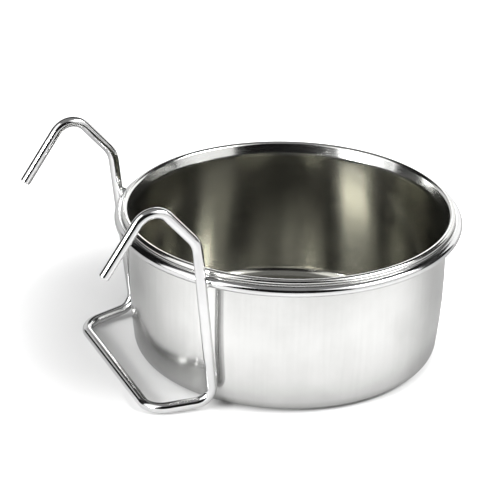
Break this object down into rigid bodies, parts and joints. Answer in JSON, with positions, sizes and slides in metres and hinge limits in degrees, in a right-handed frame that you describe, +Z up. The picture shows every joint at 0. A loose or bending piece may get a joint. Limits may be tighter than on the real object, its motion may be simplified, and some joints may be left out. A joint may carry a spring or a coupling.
{
  "type": "hanging seed cup",
  "caption": "Stainless steel seed cup with a rolled rim, carried by a wire ring on a bent hanger wire with hooks and a foot for a cage wall.",
  "frame": {"origin": "centre of the cup's flat base, on the surface that it stands on", "axes": "+Z up along the cup's axis, -X toward the cage wall with the hooks and the foot, +Y across the hooks"},
  "size_m": [0.1265, 0.1058, 0.07],
  "materials": {
    "cup_steel": "satin",
    "wire": "polished",
    "weld": "polished"
  },
  "bodies": {
    "holder": {"ring": "wire", "hanger_wire": "wire", "left_weld": "weld", "right_weld": "weld"},
    "cup": {"cup": "cup_steel"}
  },
  "joints": [
    {"name": "cup_lift", "type": "slide", "parent": "holder", "child": "cup", "axis": [0, 0, 1], "range_m": [0, 0.075]}
  ]
}
